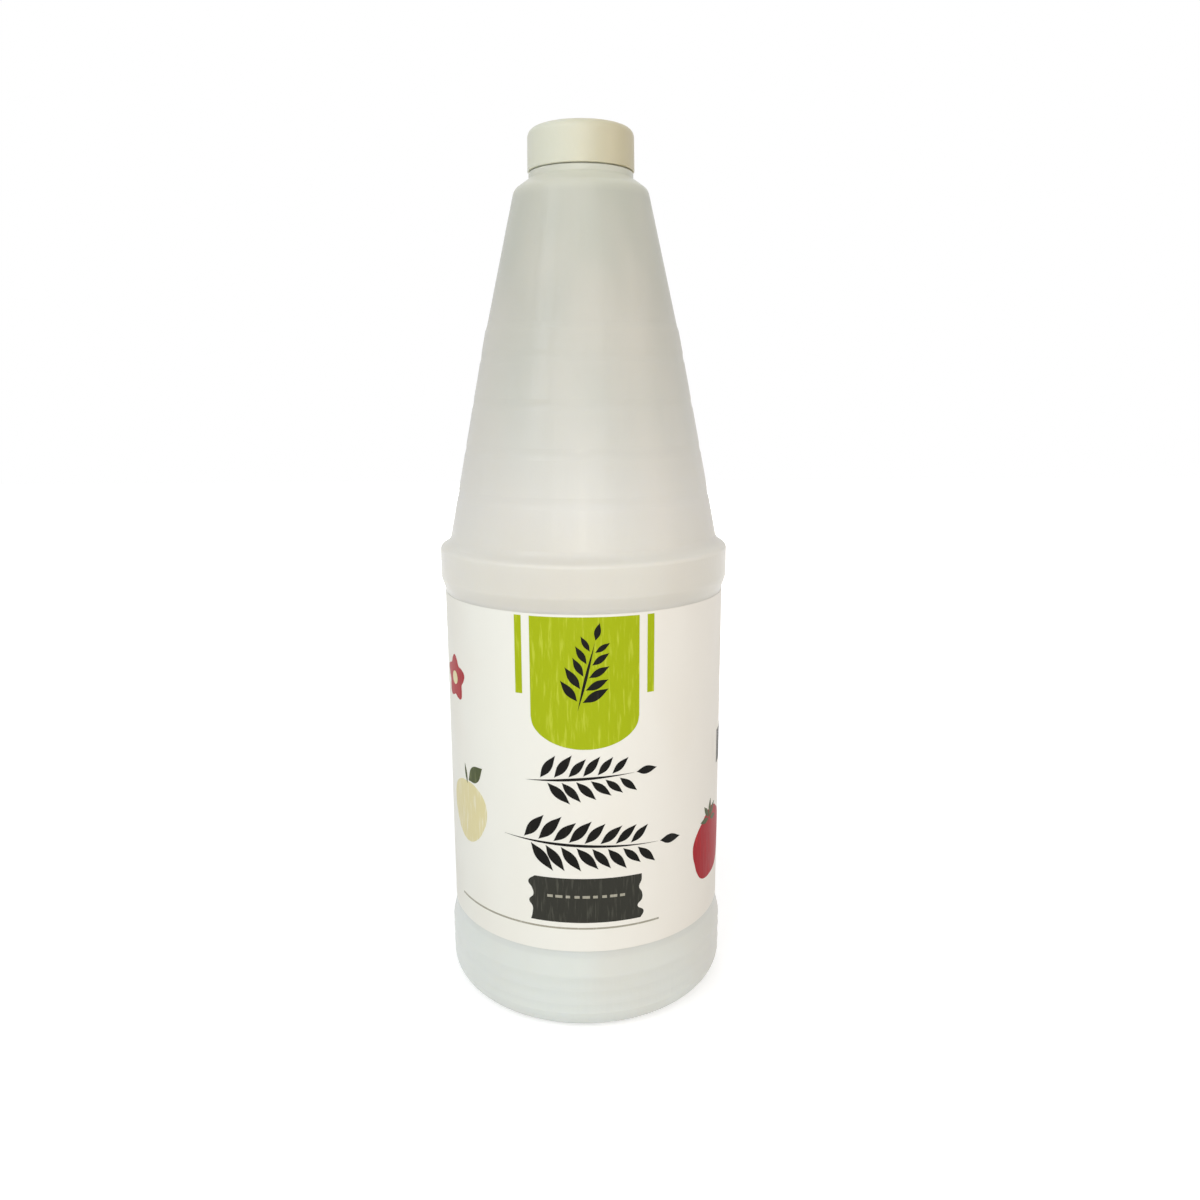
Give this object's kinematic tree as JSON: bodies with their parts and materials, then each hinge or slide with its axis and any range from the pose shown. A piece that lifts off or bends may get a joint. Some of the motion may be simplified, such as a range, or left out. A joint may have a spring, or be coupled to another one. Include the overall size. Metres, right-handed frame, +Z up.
{
  "type": "vinegar bottle",
  "caption": "Tall blow-moulded bottle of white vinegar: round body with a recessed label panel, a belt, a long tapering neck and a cream screw cap.",
  "frame": {"origin": "centre of the base, on the surface that the bottle stands on", "axes": "+Z up along the bottle's axis, -Y towards the label's front, +X to the right of a viewer who faces the label"},
  "size_m": [0.086, 0.086, 0.2544],
  "materials": {
    "milky_hdpe": "milky, lightly translucent natural HDPE with a soft satin sheen",
    "cream_cap": "satin cream polypropylene",
    "printed_label": "satin white film label, printed in green, black, grey and red"
  },
  "bodies": {
    "root": {"bottle": "milky_hdpe", "cap": "cream_cap", "label": "printed_label"}
  },
  "joints": []
}
